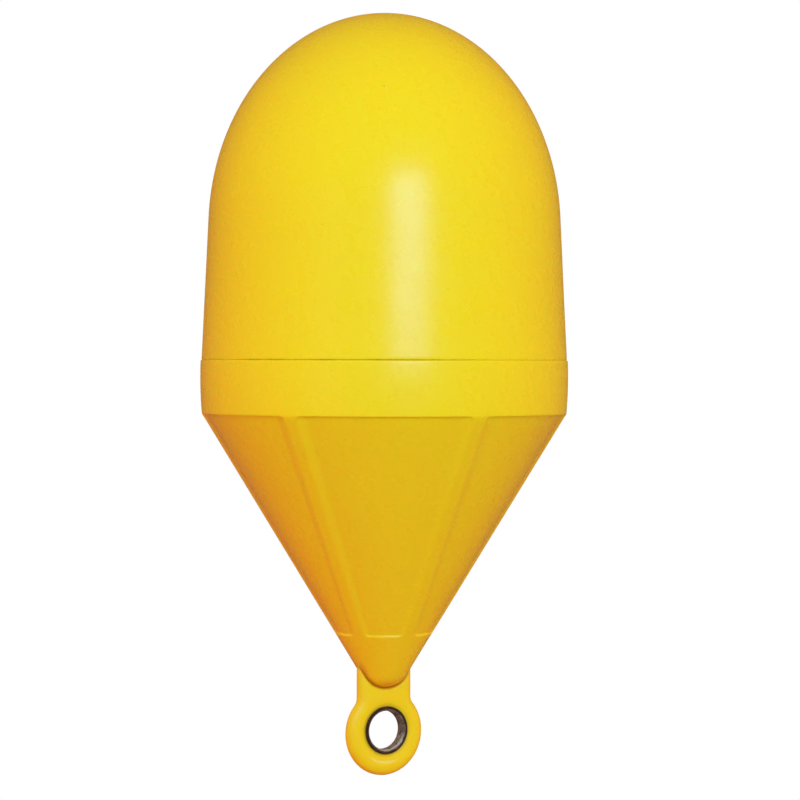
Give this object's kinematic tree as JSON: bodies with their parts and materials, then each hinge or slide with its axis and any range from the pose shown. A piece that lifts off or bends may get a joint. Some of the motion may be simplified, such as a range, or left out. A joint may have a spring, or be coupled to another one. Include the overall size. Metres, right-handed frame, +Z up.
{
  "type": "mooring marker buoy",
  "caption": "Small floating navigation marker buoy: domed top, plain band, ribbed cone and a nose with a thin lug and flared steel eye for its mooring.",
  "frame": {"origin": "on the hull's axis at the waterline, level with the lower edge of the band", "axes": "+Z up through the dome, -Y out of the front mouth of the mooring eye, +X to its right seen from the front"},
  "size_m": [0.4, 0.3998, 0.8281],
  "materials": {
    "upper_hull_plastic": "sun-faded moulded polyethylene, satin",
    "lower_hull_plastic": "moulded polyethylene, satin",
    "lug_plastic": "moulded polyethylene, satin",
    "eye_steel": "dulled stainless steel"
  },
  "bodies": {
    "root": {"upper_hull": "upper_hull_plastic", "lower_hull": "lower_hull_plastic", "mooring_lug": "lug_plastic", "eye_bush": "eye_steel"}
  },
  "joints": []
}
